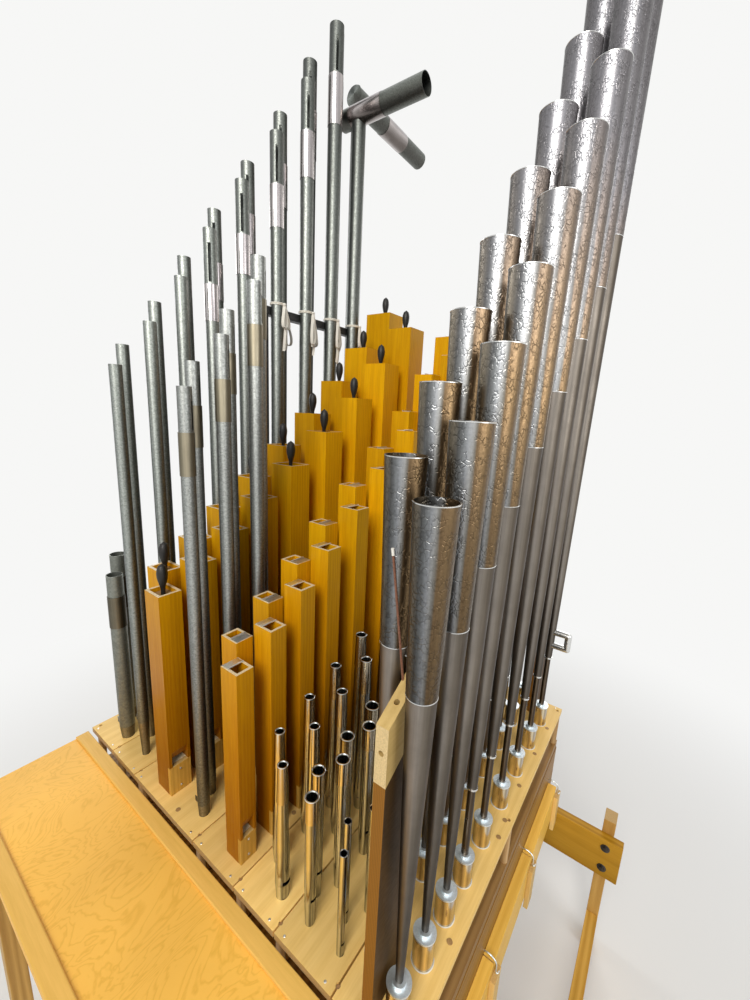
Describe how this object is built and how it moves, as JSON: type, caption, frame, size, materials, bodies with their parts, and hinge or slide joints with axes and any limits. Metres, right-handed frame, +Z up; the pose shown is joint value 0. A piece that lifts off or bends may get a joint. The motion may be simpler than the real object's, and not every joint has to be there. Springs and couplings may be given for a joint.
{
  "type": "pipe organ",
  "caption": "Windchest on a timber frame with reed, wood and metal organ pipes in staggered rows, two mitred pipes, a sloping reed rail and a walkboard.",
  "frame": {"origin": "on the ground, at the middle of the bounding box seen from above", "axes": "+Z up along the pipes, +X along the rackboards from the shortest to the longest pipes, +Y across the ranks from the reeds to the strings"},
  "size_m": [1.905, 1.605, 3.4941],
  "materials": {
    "frame_timber": "varnished softwood",
    "case_wood": "varnished pine",
    "bung_wood": "yellow varnished pine",
    "rack_wood": "pale maple, satin",
    "walk_ply": "honey plywood, satin",
    "rail_wood": "pale birch, satin",
    "post_wood": "brown stained plywood",
    "black_wood": "black paint",
    "pipe_wood": "orange yellow varnish",
    "stopper_wood": "black lacquer",
    "zinc": "grey spangled zinc",
    "pale_zinc": "light grey zinc",
    "bell_metal": "mottled, bright",
    "cone_metal": "smooth, light grey",
    "boot_metal": "polished",
    "block_metal": "pale grey, satin",
    "tin": "polished tin",
    "sleeve_metal": "bright",
    "slide_metal": "pale yellow lacquer"
  },
  "bodies": {
    "root": {"bearers": "frame_timber", "posts": "frame_timber", "stretchers": "frame_timber", "walkboard_frame": "frame_timber", "chest_bottom": "case_wood", "chest_ends": "case_wood", "chest_sides": "case_wood", "chest_top": "case_wood", "bung_cleats": "case_wood", "toeboards": "case_wood", "rack_pins": "case_wood", "bung_boards": "bung_wood", "rackboard_reed": "rack_wood", "rackboard_small": "rack_wood", "rackboard_taper": "rack_wood", "rackboard_open": "rack_wood", "rackboard_stopped": "rack_wood", "rackboard_string": "rack_wood", "rackboard_flute": "rack_wood", "walkboard": "walk_ply", "walkboard_strips": "walk_ply", "reed_rail": "rail_wood", "reed_rail_posts": "post_wood", "tie_rail": "black_wood", "tie_rail_posts": "black_wood", "stopped_bodies": "pipe_wood", "stopped_caps": "pipe_wood", "open_bodies": "pipe_wood", "open_caps": "pipe_wood", "wood_feet": "pipe_wood", "stoppers": "stopper_wood", "string_bodies": "zinc", "mitre_arms": "zinc", "light_bodies": "zinc", "metal_feet": "zinc", "tuning_flaps": "zinc", "flute_bodies": "pale_zinc", "reed_bells": "bell_metal", "reed_cones": "cone_metal", "reed_stems": "cone_metal", "reed_boots": "boot_metal", "reed_bypass": "boot_metal", "reed_blocks": "block_metal", "reed_hooks": "block_metal", "taper_bodies": "tin", "round_bodies": "tin", "narrow_bodies": "tin", "small_slides": "tin", "string_sleeves": "sleeve_metal", "string_beards": "sleeve_metal", "light_slides": "slide_metal"}
  },
  "joints": []
}
